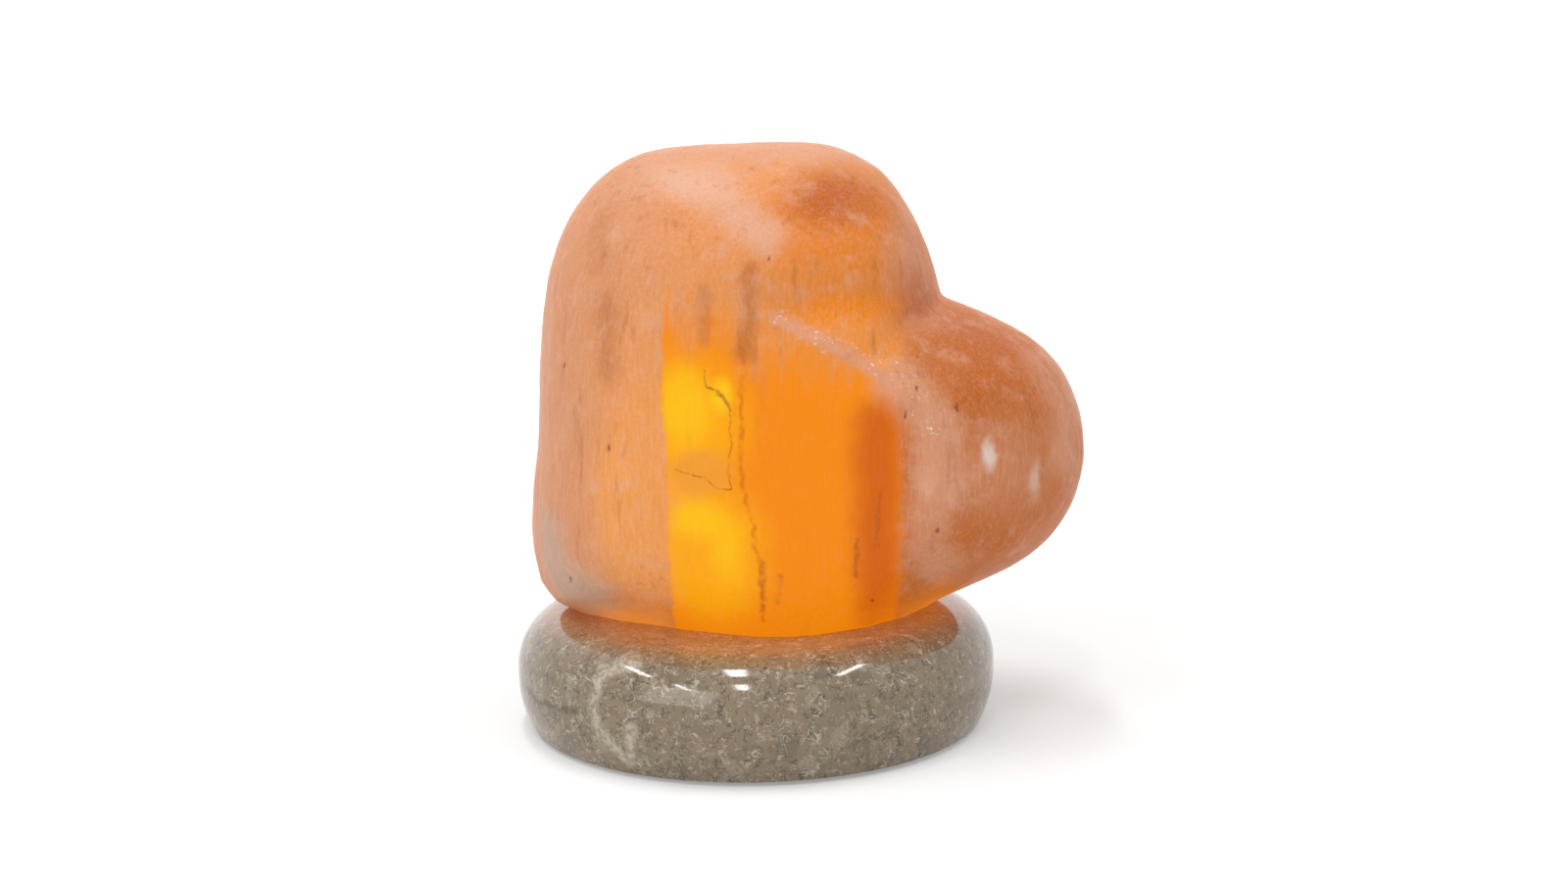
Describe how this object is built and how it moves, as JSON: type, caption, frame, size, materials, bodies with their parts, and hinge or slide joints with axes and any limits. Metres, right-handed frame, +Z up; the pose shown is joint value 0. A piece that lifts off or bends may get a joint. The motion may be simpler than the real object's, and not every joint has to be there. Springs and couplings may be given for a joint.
{
  "type": "salt crystal lamp",
  "caption": "Heart-shaped salt crystal on a round polished stone base, lit from inside by a small screw-base bulb in a sprung pull-out lampholder.",
  "frame": {"origin": "on the stone base's axis, in the plane of the felt pad's underside, on the table that the lamp stands on", "axes": "+Z up, the heart's broad faces look along -Y (front) and +Y (back, where the cord leaves), its side lobe points to +X"},
  "size_m": [0.1215, 0.102, 0.1226],
  "materials": {
    "rock_salt": "satin",
    "marble": "polished",
    "felt": "matte",
    "screw_steel": "satin",
    "plug_nylon": "matte",
    "holder_plastic": "gloss",
    "gland_plastic": "matte",
    "carrier_ceramic": "matte",
    "contact_brass": "satin",
    "spring_steel": "satin",
    "cap_brass": "gloss",
    "solder": "satin",
    "black_glass": "gloss",
    "bulb_glass": "gloss",
    "filament_wire": "satin"
  },
  "bodies": {
    "base": {"marble_base": "marble", "felt_pad": "felt", "salt_crystal": "rock_salt", "crystal_screws": "screw_steel", "screw_washers": "screw_steel", "screw_plugs": "plug_nylon"},
    "lampholder": {"holder_cap": "holder_plastic", "cord_gland": "gland_plastic", "holder_shell": "holder_plastic", "contact_carrier": "carrier_ceramic", "live_terminal": "contact_brass", "neutral_terminal": "contact_brass", "terminal_screws": "screw_steel", "centre_contact": "contact_brass", "screw_contact": "contact_brass", "clip_band": "spring_steel"},
    "wing_left": {"clip_wing_left": "spring_steel"},
    "wing_right": {"clip_wing_right": "spring_steel"},
    "bulb_foot": {"bulb_tip": "solder"},
    "bulb": {"bulb_insulator": "black_glass", "bulb_cap": "cap_brass", "bulb_glass": "bulb_glass", "bulb_stem": "bulb_glass", "lead_wires": "screw_steel", "filament": "filament_wire"}
  },
  "joints": [
    {"name": "holder_slide", "type": "slide", "parent": "base", "child": "lampholder", "axis": [0, 0, -1], "range_m": [0, 0.085]},
    {"name": "wing_left_pinch", "type": "hinge", "parent": "lampholder", "child": "wing_left", "pos_m": [-0.01433, 0, 0.0395], "axis": [0, -1, 0], "range_deg": [0, 8], "stiffness_Nm_per_rad": 0.05, "springref_deg": -11.46},
    {"name": "wing_right_pinch", "type": "hinge", "parent": "lampholder", "child": "wing_right", "pos_m": [0.01433, 0, 0.0395], "axis": [0, 1, 0], "range_deg": [0, 8], "stiffness_Nm_per_rad": 0.05, "springref_deg": -11.46},
    {"name": "bulb_lift", "type": "slide", "parent": "lampholder", "child": "bulb_foot", "axis": [0, 0, 1], "range_m": [0, 0.01411]},
    {"name": "bulb_turn", "type": "hinge", "parent": "bulb_foot", "child": "bulb", "pos_m": [0, 0, 0.05], "axis": [0, 0, 1], "range_deg": [0, 1805]}
  ],
  "couplings": [
    {"joint": "bulb_turn", "follows": "bulb_lift", "rad_per_m": 2226.5}
  ]
}
